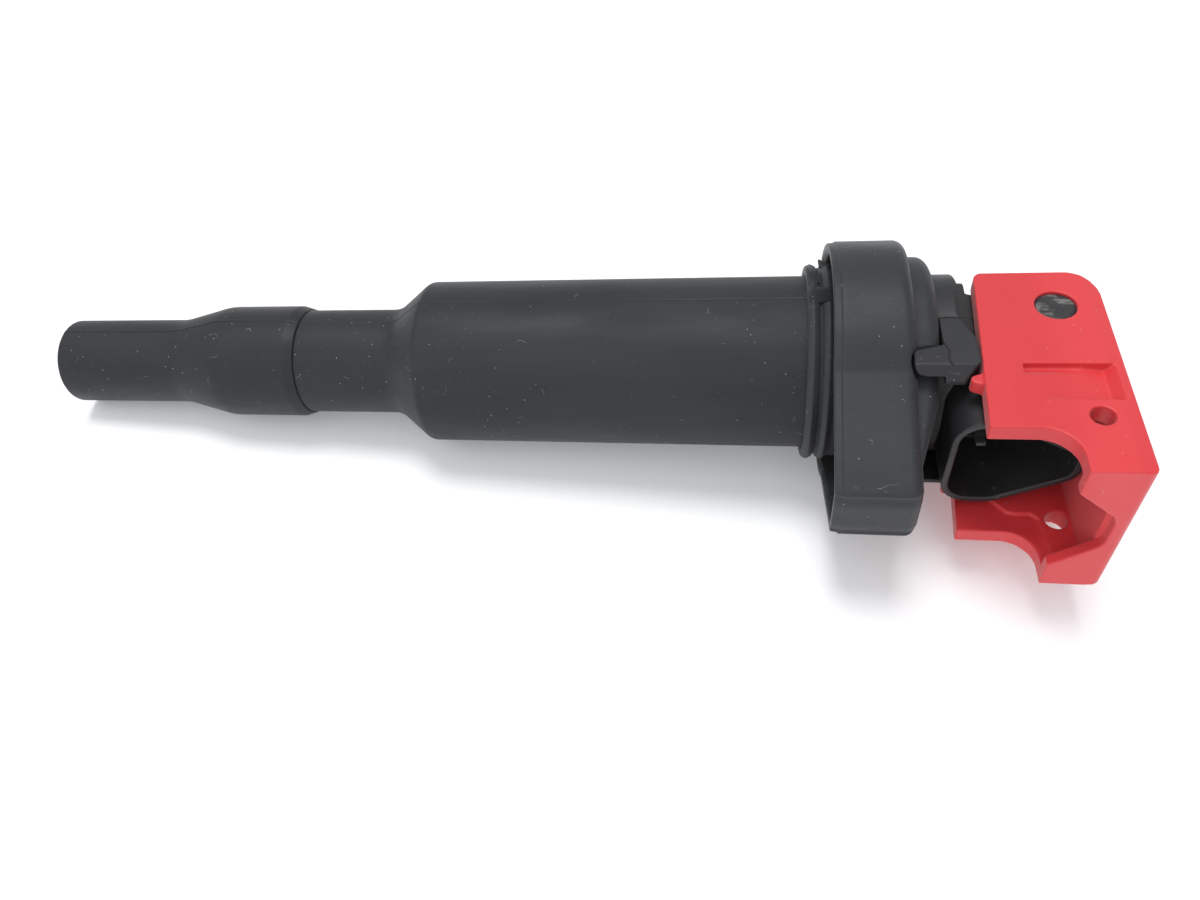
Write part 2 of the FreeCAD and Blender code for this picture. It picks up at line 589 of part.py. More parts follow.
def make_lever(doc):
    """Locking lever: two cheeks, a back wall and a front wall with a window."""
    body = make_body(doc, "lever")
    outline = new_sketch(body, "XY_Plane")
    draw_belt(outline, [
        ("lever_left + lever_corner", "lever_top - lever_corner", "lever_corner"),
        ("lever_foot + 0.6", "-lever_front + 0.6", "0.6"),
        ("lever_right - 1.2", "-lever_front + 1.2", "1.2"),
        ("lever_right - lever_crown", "lever_top - lever_crown", "lever_crown"),
    ])
    extrude(body, "Pad", outline, "lever_half + lever_half", both=True)
    inside = new_sketch(body, "XY_Plane")
    draw_polygon(inside, [
        ("lever_left - 5", "lever_top + 5"), ("lever_left - 5", "front_wall - lever_front"),
        ("wall_inner", "front_wall - lever_front"), ("wall_inner", "lever_top + 5"),
    ])
    checked_cut(doc, body, inside, "cheek_inner + cheek_inner", both=True)
    notch = new_sketch(body, "XY_Plane")
    high = "-cheek_bottom - notch_radius"
    low = "-lever_front - 3"
    draw_belt(notch, [
        ("notch_x - 20", high, "notch_radius"), ("notch_x - 20", low, "notch_radius"),
        ("notch_x", low, "notch_radius"), ("notch_x", high, "notch_radius"),
    ])
    checked_cut(doc, body, notch, "lever_half + lever_half + 2", both=True)
    window = new_sketch(body, "XZ_Plane", "lever_front + 1")
    draw_belt(window, [
        ("window_left", "-window_wide", "0.5"), ("window_x", "-window_z", "window_radius"),
        ("window_x", "window_z", "window_radius"), ("window_left", "window_wide", "0.5"),
    ])
    checked_cut(doc, body, window, "front_wall + 1.1")
    holes = new_sketch(body, "XY_Plane")
    draw_circle(holes, "pivot_x", "-pivot_y", "pivot_hole")
    draw_circle(holes, "small_hole_x", "-small_hole_y", "small_hole")
    checked_cut(doc, body, holes, "lever_half + lever_half + 2", both=True)
    cut_thumb_recesses(doc, body)
    add_nubs(body)
    return body


def cut_thumb_recesses(doc, body):
    """Thumb recess in the outer face of each cheek: a ramp that deepens rearwards, and a groove."""
    for side in ("", "-"):
        ramp = new_sketch(body, "XZ_Plane", "recess_bottom")
        floor = "lever_half - recess_depth" if side == "" else "recess_depth - lever_half"
        draw_polygon(ramp, [
            ("recess_left", f"{side}lever_half"), ("recess_deep", floor),
            ("recess_right", f"{side}lever_half"),
        ])
        checked_cut(doc, body, ramp, "recess_bottom - recess_top")
        groove = new_sketch(body, "YZ_Plane", "groove_left")
        floor = "lever_half - groove_depth" if side == "" else "groove_depth - lever_half"
        draw_polygon(groove, [
            ("-recess_top", f"{side}lever_half"), ("-groove_bottom", f"{side}lever_half"),
            ("-recess_top - 0.9", floor), ("-recess_top", floor),
        ])
        checked_cut(doc, body, groove, "recess_deep - groove_left", backwards=True)


def add_nubs(body):
    """Small nub on the edge of each cheek that tucks under its stop block."""
    for below in (False, True):
        nub = new_sketch(body, "XY_Plane", "-cheek_inner" if below else "cheek_inner")
        draw_belt(nub, [
            ("nub_x", "-nub_y", "nub_radius"), ("nub_x + 2", "-nub_y - 0.8", "nub_radius"),
            ("nub_x + 2", "-nub_y + 0.8", "nub_radius"),
        ])
        extrude(body, "Pad", nub, "nub_outer - cheek_inner", backwards=below)


def write_parts(doc, labels):
    """Check the whole document, then write each sub-part to its own file."""
    doc.recompute()
    for item in doc.Objects:
        if {"Invalid", "Error"} & set(item.State):
            raise RuntimeError(f"{item.Label} failed: {item.State}")
    os.makedirs("parts", exist_ok=True)
    for label in labels:
        part = doc.getObjectsByLabel(label)[0]
        shape = part.Shape
        if shape.isNull() or not shape.isValid():
            raise RuntimeError(f"{label} has no valid shape")
        shape.exportStep(f"parts/{label}.step")
        print(f"{label}: {len(shape.Solids)} solid, {shape.Volume:.1f} mm3")


LABELS = [
    "plug_boot", "body_sleeve", "coil_case", "shield_tube", "contact_tip", "contact_spring",
    "suppression_resistor", "resistor_cap_lower", "resistor_cap_upper", "hv_terminal", "iron_core",
    "magnet_lower", "magnet_upper", "core_buffer_lower", "core_buffer_upper", "secondary_bobbin",
    "secondary_winding", "primary_bobbin", "primary_winding", "flange_seal", "head_housing",
    "pin_supply", "pin_ground", "pin_trigger", "driver_board", "driver_chip", "heat_spreader",
    "head_potting", "lead_post_start", "lead_post_end", "lever",
]


def main():
    doc = FreeCAD.newDocument("ignition_coil")
    make_sheet(doc)
    make_plug_boot(doc)
    make_body_sleeve(doc)
    make_coil_case(doc)
    make_shield_tube(doc)
    make_contact_tip(doc)
    make_contact_spring(doc)
    make_resistor(doc)
    make_terminal(doc)
    make_core(doc)
    make_secondary(doc)
    make_primary(doc)
    make_seal(doc)
    make_housing(doc)
    make_pins(doc)
    make_electronics(doc)
    make_lever(doc)
    write_parts(doc, LABELS)


main()
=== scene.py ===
"""Looks of the pencil ignition coil: moulded rubber, plastics, lever and studio.

Sizes are in millimetres and become metres where a mesh is made.  X runs along the coil, the
connector socket opens towards -Y and Z is parallel to the lever's pivot.
"""

import json
import math
import random

import bmesh
import bpy
from mathutils import Matrix, Vector


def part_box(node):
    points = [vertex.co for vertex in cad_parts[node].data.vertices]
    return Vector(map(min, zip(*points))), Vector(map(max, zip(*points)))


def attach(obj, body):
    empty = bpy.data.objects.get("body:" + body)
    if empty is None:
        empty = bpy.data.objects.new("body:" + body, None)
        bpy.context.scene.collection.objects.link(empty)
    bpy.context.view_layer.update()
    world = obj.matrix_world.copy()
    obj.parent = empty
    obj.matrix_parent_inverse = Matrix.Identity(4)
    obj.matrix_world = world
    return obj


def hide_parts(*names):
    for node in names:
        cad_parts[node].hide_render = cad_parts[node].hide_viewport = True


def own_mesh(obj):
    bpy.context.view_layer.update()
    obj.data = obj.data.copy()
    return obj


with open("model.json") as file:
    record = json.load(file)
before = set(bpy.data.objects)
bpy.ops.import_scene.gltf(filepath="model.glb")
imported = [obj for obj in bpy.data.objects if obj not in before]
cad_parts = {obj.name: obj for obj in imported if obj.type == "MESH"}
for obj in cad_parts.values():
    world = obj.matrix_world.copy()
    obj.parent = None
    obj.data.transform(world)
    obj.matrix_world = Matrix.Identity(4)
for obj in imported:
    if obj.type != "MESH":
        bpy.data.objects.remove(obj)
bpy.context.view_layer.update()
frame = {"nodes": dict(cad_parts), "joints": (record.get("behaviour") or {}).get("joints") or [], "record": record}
MM = 0.001


def edges(node):
    """Lowest and highest corner of a CAD node in millimetres."""
    low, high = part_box(node)
    return low / MM, high / MM


BOOT = edges("plug_boot")
SLEEVE = edges("body_sleeve")
SEAL = edges("flange_seal")
LEVER = edges("lever")
SPRING = edges("contact_spring")
TIP = edges("contact_tip")
POTTING = edges("head_potting")

COLLAR_RADIUS = BOOT[1].z
BODY_RADIUS = SLEEVE[1].z
PIVOT = Vector(frame["joints"][0]["pos_m"]) / MM
# Edge of the even grid that the moulded head and lever are rebuilt on.
MOULD_VOXEL = 0.17

# ---------------------------------------------------------------- outlines


def rounded(corners, step=math.radians(12), arc_parts=None):
    """Closed outline from corners (a, b, fillet radius), each fillet as an arc."""
    outline = []
    count = len(corners)
    for index, (a, b, radius) in enumerate(corners):
        here = Vector((a, b))
        back = Vector(corners[index - 1][:2]) - here
        ahead = Vector(corners[(index + 1) % count][:2]) - here
        turn = back.angle(ahead, math.pi)
        if radius <= 0 or turn > math.radians(179):
            outline.append(here)
            continue
        reach = radius / math.tan(turn / 2)
        start = here + back.normalized() * reach
        end = here + ahead.normalized() * reach
        middle = (back.normalized() + ahead.normalized()).normalized()
        centre = here + middle * (radius / math.sin(turn / 2))
        first = start - centre
        sweep = first.angle_signed(end - centre)
        parts = arc_parts or max(2, math.ceil(abs(sweep) / step))
        for part in range(parts + 1):
            outline.append(centre + Matrix.Rotation(-sweep * part / parts, 2) @ first)
    return [(point.x, point.y) for point in outline]


# ---------------------------------------------------------------- meshes


def add_object(name, mesh_data):
    """Link an object for a bmesh, with faces turned outwards and smooth shading."""
    bmesh.ops.remove_doubles(mesh_data, verts=mesh_data.verts, dist=1e-7)
    bmesh.ops.recalc_face_normals(mesh_data, faces=mesh_data.faces)
    for face in mesh_data.faces:
        face.smooth = True
    mesh = bpy.data.meshes.new(name)
    mesh_data.to_mesh(mesh)
    mesh_data.free()
    piece = bpy.data.objects.new(name, mesh)
    bpy.context.scene.collection.objects.link(piece)
    return piece


def loft(name, rows, closed=True):
    """Skin a list of rings of points; a closed loft joins the last ring to the first."""
    mesh_data = bmesh.new()
    rings = [[mesh_data.verts.new(Vector(point) * MM) for point in row] for row in rows]
    pairs = list(zip(rings, rings[1:] + rings[:1])) if closed else list(zip(rings, rings[1:]))
    for ring, following in pairs:
        for index in range(len(ring)):
            ahead = (index + 1) % len(ring)
            mesh_data.faces.new((ring[index], ring[ahead], following[ahead], following[index]))
    if not closed:
        mesh_data.faces.new(rings[0])
        mesh_data.faces.new(rings[-1])
    return add_object(name, mesh_data)


def prism(outline, plane, low, high):
    """Closed block: an outline in plane XY, XZ or YZ between two heights on the third axis."""
    place = {
        "XY": lambda a, b, c: (a, b, c),
        "XZ": lambda a, b, c: (a, c, b),
        "YZ": lambda a, b, c: (c, a, b),
    }[plane]
    rows = [[place(a, b, height) for a, b in outline] for height in (low, high)]
    return loft("tool", rows, closed=False)


def combine(target, operation, tools):
    """Boolean the tools into the target one by one and remove them."""
    for tool in tools:
        modifier = target.modifiers.new("boolean", "BOOLEAN")
        modifier.operation = operation
        modifier.object = tool
        modifier.solver = "EXACT"
        settle(target)
        bpy.data.objects.remove(tool)
    return target


def settle(piece):
    """Apply every modifier of a piece."""
    graph = bpy.context.evaluated_depsgraph_get()
    mesh = bpy.data.meshes.new_from_object(piece.evaluated_get(graph))
    piece.modifiers.clear()
    piece.data = mesh


def soften(piece, name, voxel, rounds):
    """Remesh a piece evenly and smooth it, which rounds its edges as a mould does."""
    remesh = piece.modifiers.new("remesh", "REMESH")
    remesh.mode = "VOXEL"
    remesh.voxel_size = voxel * MM
    smooth = piece.modifiers.new("smooth", "SMOOTH")
    smooth.factor = 0.5
    smooth.iterations = rounds
    settle(piece)
    piece.name = name
    piece.data.name = name
    piece.data.shade_smooth()
    return piece


# ---------------------------------------------------------------- turned pieces

MOULD_LINES = (math.radians(90), math.radians(-90))
# Across the mould line in millimetres, and the height there: a fine groove between two lips.
MOULD_SECTION = [(-0.42, 0.0), (-0.2, 0.06), (-0.1, -0.1), (0.1, -0.1), (0.2, 0.06), (0.42, 0.0)]


def ring_angles(radius, depth, count=160):
    """Angles round the coil and the height at each, with extra ones across the mould lines."""
    ring = [(2 * math.pi * index / count - math.pi, 0.0) for index in range(count)]
    clear = 0.5 / radius
    ring = [(a, h) for a, h in ring if all(abs(a - line) > clear for line in MOULD_LINES)]
    ring += [(line + across / radius, height * depth)
             for line in MOULD_LINES for across, height in MOULD_SECTION]
    return sorted(ring)


def turned(name, profile, line_above=99.0, depth=1.0):
    """Turn a closed profile (x, radius) about X; points above a radius carry the mould line."""
    ring = ring_angles(max(radius for x, radius in profile), depth)
    rows = []
    for x, radius in profile:
        marked = 1.0 if radius > line_above else 0.0
        rows.append([(x, (radius + marked * height) * math.cos(angle),
                      (radius + marked * height) * math.sin(angle)) for angle, height in ring])
    return loft(name, rows)


def make_boot():
    """Spark plug boot with a soft cone, a collar and a rounded lip."""
    end = BOOT[1].x
    profile = rounded([
        (0.0, 5.1, 0.4), (0.0, 8.27, 0.55), (25.0, 8.27, 9.0), (35.0, COLLAR_RADIUS, 9.0),
        (end - 1.9, COLLAR_RADIUS, 1.2), (end, 10.2, 0.3), (end, 8.25, 0.0), (39.95, 8.25, 0.0),
        (39.95, 5.9, 0.0), (31.8, 5.9, 0.3), (31.0, 5.1, 0.3),
    ])
    return turned("boot_skin", spread(profile, 3.0), line_above=7.0)


def spread(profile, longest):
    """Divide the long runs of a closed profile so that no face is very long."""
    points = []
    for start, end in zip(profile, profile[1:] + profile[:1]):
        parts = max(1, math.ceil(math.dist(start, end) / longest))
        points += [tuple(Vector(start).lerp(Vector(end), part / parts)) for part in range(parts)]
    return points


def make_sleeve():
    """Skin of the neck, the shoulder and the fat body."""
    start, end = SLEEVE[0].x, SLEEVE[1].x
    profile = rounded([
        (start, 6.55, 0.0), (start, 8.2, 0.0), (BOOT[1].x + 0.05, 8.2, 0.0),
        (BOOT[1].x + 0.05, 9.95, 0.15), (70.5, 9.95, 5.0), (76.9, BODY_RADIUS - 0.1, 1.8),
        (end, BODY_RADIUS, 0.2), (end, 14.3, 0.0), (78.9, 14.3, 0.0), (70.9, 6.55, 0.0),
    ])
    return turned("sleeve_skin", spread(profile, 4.0), line_above=9.5, depth=0.6)


def make_tip():
    """Turned contact button with a dimple for the plug's terminal."""
    start, end, radius = TIP[0].x, TIP[1].x, TIP[1].z
    profile = rounded([
        (start + 0.5, 0.05, 0.0), (start + 0.2, 1.6, 0.3), (start, 2.0, 0.2),
        (start, radius, 0.5), (end, radius, 0.2), (end, 0.05, 0.0),
    ])
    return turned("contact_button", profile)


def make_spring():
    """Compression spring with a closed turn at each end."""
    start, end = SPRING[0].x, SPRING[1].x
    wire = 0.45
    radius = SPRING[1].z - wire
    turns, steps, around = 8.0, 28, 10
    rows = []
    total = int(turns * steps)
    for index in range(total + 1):
        share = index / total
        turn = share * turns
        ease = min(1.0, max(0.0, (turn - 1.0) / (turns - 2.0)))
        ends = min(turn, 1.0) + max(0.0, turn - turns + 1.0)
        advance = wire + ends * 2 * wire + ease * (end - start - 6 * wire)
        angle = 2 * math.pi * turn
        out = Vector((0, math.cos(angle), math.sin(angle)))
        row = []
        for corner in range(around):
            swing = 2 * math.pi * corner / around
            offset = out * (wire * math.cos(swing)) + Vector((wire * math.sin(swing), 0, 0))
            row.append(tuple(Vector((start + advance, 0, 0)) + out * radius + offset))
        rows.append(row)
    return loft("spring_coil", rows, closed=False)


# ---------------------------------------------------------------- seal

SEAL_BACK = SEAL[1].z
NOSE_REACH = -SEAL[0].y - 0.25
# The flank runs straight from the nose to the round back: its distance from the axis and heading.
FLANK_REACH = 19.6
FLANK_HEADING = math.radians(116.3)
SKIRT_RIM, SKIRT_FLOOR, SHOULDER = 148.7, 157.5, 160.9
# The lip slopes beyond this distance towards the nose.
LIP_SLOPE_Y = 17.0
# How far the shoulder bows towards the head for each millimetre of Y away from the axis.
SHOULDER_BOW = 0.03


def seal_section():
    """Closed section of the seal (x, radius at the back)."""
    start, end = SEAL[0].x, SEAL[1].x
    bore = BODY_RADIUS + 0.04
    wall = SEAL_BACK - 2.0
    return rounded([
        (start, bore, 0.0), (start, 16.9, 0.5), (start + 0.9, 17.3, 0.5), (start + 1.7, 16.9, 0.3),
        (start + 2.1, 16.2, 0.2), (start + 2.6, 16.9, 0.3), (start + 3.4, 17.3, 0.4),
        (start + 4.3, 16.6, 0.5), (SKIRT_FLOOR, 16.6, 0.8), (SKIRT_FLOOR, wall, 1.0),
        (SKIRT_RIM + 0.6, wall, 0.3), (SKIRT_RIM, SEAL_BACK - 1.5, 0.3),
        (SKIRT_RIM, SEAL_BACK - 0.3, 0.2), (SKIRT_RIM + 1.1, SEAL_BACK - 0.2, 0.1),
        (SKIRT_RIM + 1.3, SEAL_BACK, 0.2), (SHOULDER, SEAL_BACK, 1.9),
        (SHOULDER, SEAL_BACK - 2.9, 0.35), (end, SEAL_BACK - 2.9, 2.2), (end, bore, 0.0),
    ])


def seal_ring(x, radius, headings):
    """One ring of the seal: a circle near the collar, the seal's own outline further out."""
    low, high = (15.4, 15.9) if x > SHOULDER - 0.5 else (17.45, 18.05)
    share = min(1.0, max(0.0, (radius - low) / (high - low)))
    circle = [Vector((math.cos(h), math.sin(h))) * radius for h in headings]
    if share == 0.0:
        return [(x, *point) for point in circle]
    outline = seal_outline(min(5.3, SEAL_BACK - radius))
    return [(x, *point.lerp(Vector(other), share)) for point, other in zip(circle, outline)]


def seal_outline(inset):
    """Outline drawn in by an inset: round back, soft valley, straight flanks and blunt nose."""
    back = SEAL_BACK - inset
    flank = FLANK_REACH - inset
    front = inset - NOSE_REACH
    valley = FLANK_HEADING + math.acos(flank / back)
    nose = (flank - front * math.cos(FLANK_HEADING)) / math.sin(FLANK_HEADING)
    soft = max(0.35, 1.5 - 0.35 * inset)
    corner = (back * math.cos(valley), back * math.sin(valley))
    outline = rounded([
        (back * math.cos(valley - 0.16), back * math.sin(valley - 0.16), 0.0), (*corner, 3.0),
        (front, nose, soft), (front, -nose, soft), (corner[0], -corner[1], 3.0),
        (back * math.cos(valley - 0.16), -back * math.sin(valley - 0.16), 0.0),
    ], arc_parts=6)
    steps = 100
    arc = [valley - 0.16 - (2 * valley - 0.32) * part / steps for part in range(1, steps)]
    arc = [(back * math.cos(angle), back * math.sin(angle)) for angle in reversed(arc)]
    return divide(outline, {7: 16, 14: 12, 21: 16}) + arc


def divide(outline, runs):
    """Divide some runs of an open outline, given as {number of the run: parts}."""
    divided = []
    for index, (start, end) in enumerate(zip(outline, outline[1:])):
        count = runs.get(index, 1)
        divided += [tuple(Vector(start).lerp(Vector(end), part / count)) for part in range(count)]
    return divided + [outline[-1]]


def make_seal():
    """Hollow skirt round a beaded collar, with a floor and a smaller upper lip."""
    headings = [math.atan2(b, a) for a, b in seal_outline(0.0)]
    section = spread(seal_section(), 1.0)
    seal = loft("seal_skin", [seal_ring(x, radius, headings) for x, radius in section])
    for vertex in seal.data.vertices:
        vertex.co += seal_shift(vertex.co / MM) * MM
    notches = [prism(hook_outline(0.45), "XY", sign * 12.4, sign * 18.0) for sign in (1, -1)]
    return combine(seal, "DIFFERENCE", notches)


def seal_shift(point):
    """Bow of the shoulder, slope of the lip towards the nose and dips of the soft skirt."""
    shift = Vector((0, 0, 0))
    reach = math.hypot(point.y, point.z)
    if point.x > SHOULDER - 2.4 and reach > 15.2:
        fade = 1.0 - max(0.0, point.x - SHOULDER - 0.2) / (SEAL[1].x - SHOULDER - 0.2)
        shift.x += SHOULDER_BOW * abs(point.y) * fade
    if point.x > SHOULDER + 0.1 and reach > 15.3 and point.y < -LIP_SLOPE_Y:
        rise = SEAL[1].x - SHOULDER
        share = (point.x - SHOULDER) / rise
        shift.x -= share * 0.3 * min(12.6, -LIP_SLOPE_Y - point.y)
    if SKIRT_RIM - 0.2 < point.x < SHOULDER and reach > 18.0 and point.y < -28:
        depth = 0.4 * math.exp(-((point.z - 4.2) / 0.7) ** 2)
        depth += 0.4 * math.exp(-((point.z + 4.2) / 0.7) ** 2)
        shift.y += depth
    return shift


def hook_outline(extra=0.0):
    """Outline of the small hook on a stop block, in X and Y."""
    return [
        (160.7 - extra, -13.2), (161.9 - extra, -11.6 + extra), (164.7, -10.8 + extra),
        (166.6, -10.6 + extra), (166.6, -16.6 - extra), (163.6, -16.5 - extra),
        (161.3 - extra, -15.9 - extra), (160.6 - extra, -14.6),
    ]


def torn_ear(name, start, end, low, high, seed):
    """Ragged thin flap of rubber standing on the collar between two angles."""
    draw = random.Random(seed)
    steps = 18
    rows = []
    for step in range(steps + 1):
        share = step / steps
        angle = math.radians(start + (end - start) * share)
        swell = math.sin(math.pi * (0.06 + 0.88 * share)) * draw.uniform(0.93, 1.04)
        left = low + draw.uniform(-0.03, 0.03)
        right = high + draw.uniform(-0.04, 0.04)
        top = 16.9 + 1.25 * swell
        loop = [(left, 16.8), (left - 0.25 * swell, top - 0.1), (left + 0.05, top),
                (left + 0.45, top - 0.35), (right - 0.2, 17.35), (right, 16.8)]
        rows.append([(x, r * math.cos(angle), r * math.sin(angle)) for x, r in loop])
    return loft(name, rows, closed=False)


def ragged_line(name, points, thickness, seed):
    """Thin uneven ridge of flash along a line of points."""
    draw = random.Random(seed)
    path = [Vector(a).lerp(Vector(b), part / 8)
            for a, b in zip(points, points[1:]) for part in range(8)] + [Vector(points[-1])]
    rows = []
    for index, point in enumerate(path):
        along = path[min(index + 1, len(path) - 1)] - path[max(index - 1, 0)]
        side = along.orthogonal().normalized()
        other = along.cross(side).normalized()
        wander = side * draw.uniform(-1, 1) + other * draw.uniform(-1, 1)
        centre = point + wander * thickness * 0.35
        radius = thickness * draw.uniform(0.55, 1.15)
        rows.append([tuple(centre + (side * math.cos(a) + other * math.sin(a)) * radius)
                     for a in (0.0, 1.26, 2.51, 3.77, 5.03)])
    return loft(name, rows, closed=False)


def make_flash():
    """Flash where the lip meets the shoulder and along the joints of the stop blocks."""
    lip = [(SHOULDER + 0.12 + SHOULDER_BOW * abs(a), a, b) for a, b in seal_outline(2.85)]
    front = [point for point in lip if point[1] < -19.0]
    pieces = [(ragged_line("seal_flash", front, 0.16, 3), "seal_rubber")]
    for sign, side in ((1, "upper"), (-1, "lower")):
        high = sign * (HEAD_STOP + 0.02)
        seam = [(165.5, -10.4, high), (166.1, -12.0, high), (165.8, -13.6, high),
                (166.2, -15.2, high)]
        edge = [(165.4, -4.7, high), (166.8, -4.5, high), (168.4, -4.65, high),
                (170.1, -4.5, high)]
        pieces.append((ragged_line("stop_seam_" + side, seam, 0.17, 11), "housing_plastic"))
        pieces.append((ragged_line("stop_edge_" + side, edge, 0.14, 12), "housing_plastic"))
    return pieces


# ---------------------------------------------------------------- head and lever

# Height of the stop blocks' ridge, and of the inner faces of the lever's cheeks.
HEAD_STOP = 15.0
LEVER_INNER = 11.8
# Centre and radius of the small hole through both cheeks.
SMALL_HOLE = (185.38, -24.82, 1.77)
TRUNNION_END = 14.2


def cad_copy(node):
    """Copy of a CAD node's mesh to build on."""
    piece = bpy.data.objects.new("tool", frame["nodes"][node].data.copy())
    bpy.context.scene.collection.objects.link(piece)
    mesh_data = bmesh.new()
    mesh_data.from_mesh(piece.data)
    bmesh.ops.remove_doubles(mesh_data, verts=mesh_data.verts, dist=1e-7)
    mesh_data.to_mesh(piece.data)
    mesh_data.free()
    return piece


def make_head():
    """Head: the CAD shape with facetted stop blocks and hooks, softened like a moulding."""
    head = cad_copy("head_housing")
    hooks = [prism(hook_outline(), "XY", sign * 13.4, sign * (HEAD_STOP - 0.1)) for sign in (1, -1)]
    combine(head, "UNION", hooks)
    combine(head, "DIFFERENCE", [facet(sign) for sign in (1, -1)])
    return soften(head, "head_shell", MOULD_VOXEL, 4)


def facet(sign):
    """Wedge that slopes the outer face of a stop block away below its ridge."""
    ridge, outer = sign * HEAD_STOP, sign * (HEAD_STOP + 0.6)
    section = [(-15.0, ridge), (-15.0, outer), (-18.6, outer), (-18.6, ridge - sign * 4.6)]
    return loft("tool", [[(x, y, z) for y, z in section] for x in (158.0, 173.0)], closed=False)


def make_lever():
    """Locking lever: the CAD shape with steps inside the cheeks and a sloped rear edge."""
    lever = cad_copy("lever")
    step = rounded([(171.2, -17.5, 0.3), (176.0, -21.3, 0.6), (178.0, -23.5, 0.5),
                    (179.3, -23.8, 0.5), (181.7, -23.7, 0.6), (182.8, -24.8, 0.6),
                    (183.4, -33.6, 0.0), (187.8, -33.6, 0.0), (187.8, -9.8, 0.0),
                    (171.2, -9.8, 0.3)])
    ribs = [prism(step, "XY", sign * (LEVER_INNER - 0.5), sign * (LEVER_INNER + 0.3))
            for sign in (1, -1)]
    combine(lever, "UNION", ribs)
    hole = circle_outline(*SMALL_HOLE)
    cuts = [prism(hole, "XY", sign * 9.0, sign * 16.0) for sign in (1, -1)]
    combine(lever, "DIFFERENCE", cuts + [rear_band(sign) for sign in (1, -1)])
    return soften(lever, "lever_shell", MOULD_VOXEL, 5)


def rear_band(sign):
    """Shallow slope cut along the rear edge of a cheek's outer face."""
    face = sign * LEVER[1].z
    section = [(188.5, face), (188.5, face + sign * 0.6), (191.2, face + sign * 0.6),
               (191.2, face - sign * 0.5)]
    return loft("tool", [[(x, y, z) for x, z in section] for y in (-37.0, 9.0)], closed=False)


def circle_outline(a, b, radius, count=32):
    """Circle as a closed outline."""
    return [(a + radius * math.cos(2 * math.pi * index / count),
             b + radius * math.sin(2 * math.pi * index / count)) for index in range(count)]


def trunnion_face(name, sign):
    """Cut-off gate on the end of a trunnion: a low uneven disc."""
    draw = random.Random(21)
    base = sign * TRUNNION_END
    rows = []
    profile = ((3.0, 0.0), (2.9, 0.1), (2.4, 0.14), (1.7, 0.08), (0.9, 0.16), (0.3, 0.1))
    for radius, height in profile:
        rows.append([(PIVOT.x + radius * math.cos(a), PIVOT.y + radius * math.sin(a),
                      base + sign * (height + (draw.uniform(-0.05, 0.05) if height else 0.0)))
                     for a in [2 * math.pi * index / 40 for index in range(40)]])
    return loft(name, rows, closed=False)


def make_potting():
    """Cured epoxy with a meniscus that climbs the walls of the electronics box."""
    low, high = POTTING
    middle = (low + high) / 2
    half_y, half_z = (high.y - low.y) / 2, (high.z - low.z) / 2
    rows = []
    for x, inset in ((low.x, 0.0), (high.x, 0.0), (high.x - 0.25, 0.25), (high.x - 0.45, 0.7),
                     (high.x - 0.55, 1.4), (high.x - 0.58, 2.4)):
        y, z, corner = half_y - inset, half_z - inset, max(0.3, 1.0 - inset * 0.3)
        outline = rounded([(y, -z, corner), (y, z, corner), (-y, z, corner), (-y, -z, corner)])
        rows.append([(x, middle.y + a, middle.z + b) for a, b in outline])
    return loft("potting_cap", rows, closed=False)


# ---------------------------------------------------------------- materials


def add(tree, kind, settings=None, links=None):
    """Add a shader node with its settings and its incoming links."""
    made = tree.nodes.new(kind)
    for key, setting in (settings or {}).items():
        if isinstance(key, str) and hasattr(made, key):
            setattr(made, key, setting)
        else:
            made.inputs[key].default_value = setting
    for key, source in (links or {}).items():
        tree.links.new(source, made.inputs[key])
    return made


def place(tree, stretch=(1, 1, 1), turn=(0, 0, 0)):
    """Object coordinates, stretched along the axes."""
    source = add(tree, "ShaderNodeTexCoord").outputs["Object"]
    settings = {"Scale": stretch, "Rotation": turn}
    mapping = add(tree, "ShaderNodeMapping", settings, {"Vector": source})
    return mapping.outputs[0]


def noise(tree, vector, scale, detail=2.0, distortion=0.0):
    """Noise texture between 0 and 1."""
    settings = {"Scale": scale, "Detail": detail, "Distortion": distortion}
    return add(tree, "ShaderNodeTexNoise", settings, {"Vector": vector}).outputs["Fac"]


def ramp(tree, source, low, high, start=0.0, end=1.0):
    """Smooth step from start to end as the source goes from low to high."""
    settings = {"interpolation_type": "SMOOTHSTEP", "From Min": low, "From Max": high,
                "To Min": start, "To Max": end}
    return add(tree, "ShaderNodeMapRange", settings, {"Value": source}).outputs[0]


def maths(tree, operation, first, second):
    """Two-input maths node; either input is a socket or a number."""
    made = add(tree, "ShaderNodeMath", {"operation": operation})
    for index, source in enumerate((first, second)):
        if isinstance(source, (int, float)):
            made.inputs[index].default_value = source
        else:
            tree.links.new(source, made.inputs[index])
    return made.outputs[0]


def mix(tree, factor, first, second):
    """Colour mix; each colour is a socket or an RGB triple."""
    made = add(tree, "ShaderNodeMix", {"data_type": "RGBA"}, {0: factor})
    for index, source in ((6, first), (7, second)):
        if isinstance(source, tuple):
            made.inputs[index].default_value = (*source, 1.0)
        else:
            tree.links.new(source, made.inputs[index])
    return made.outputs[2]


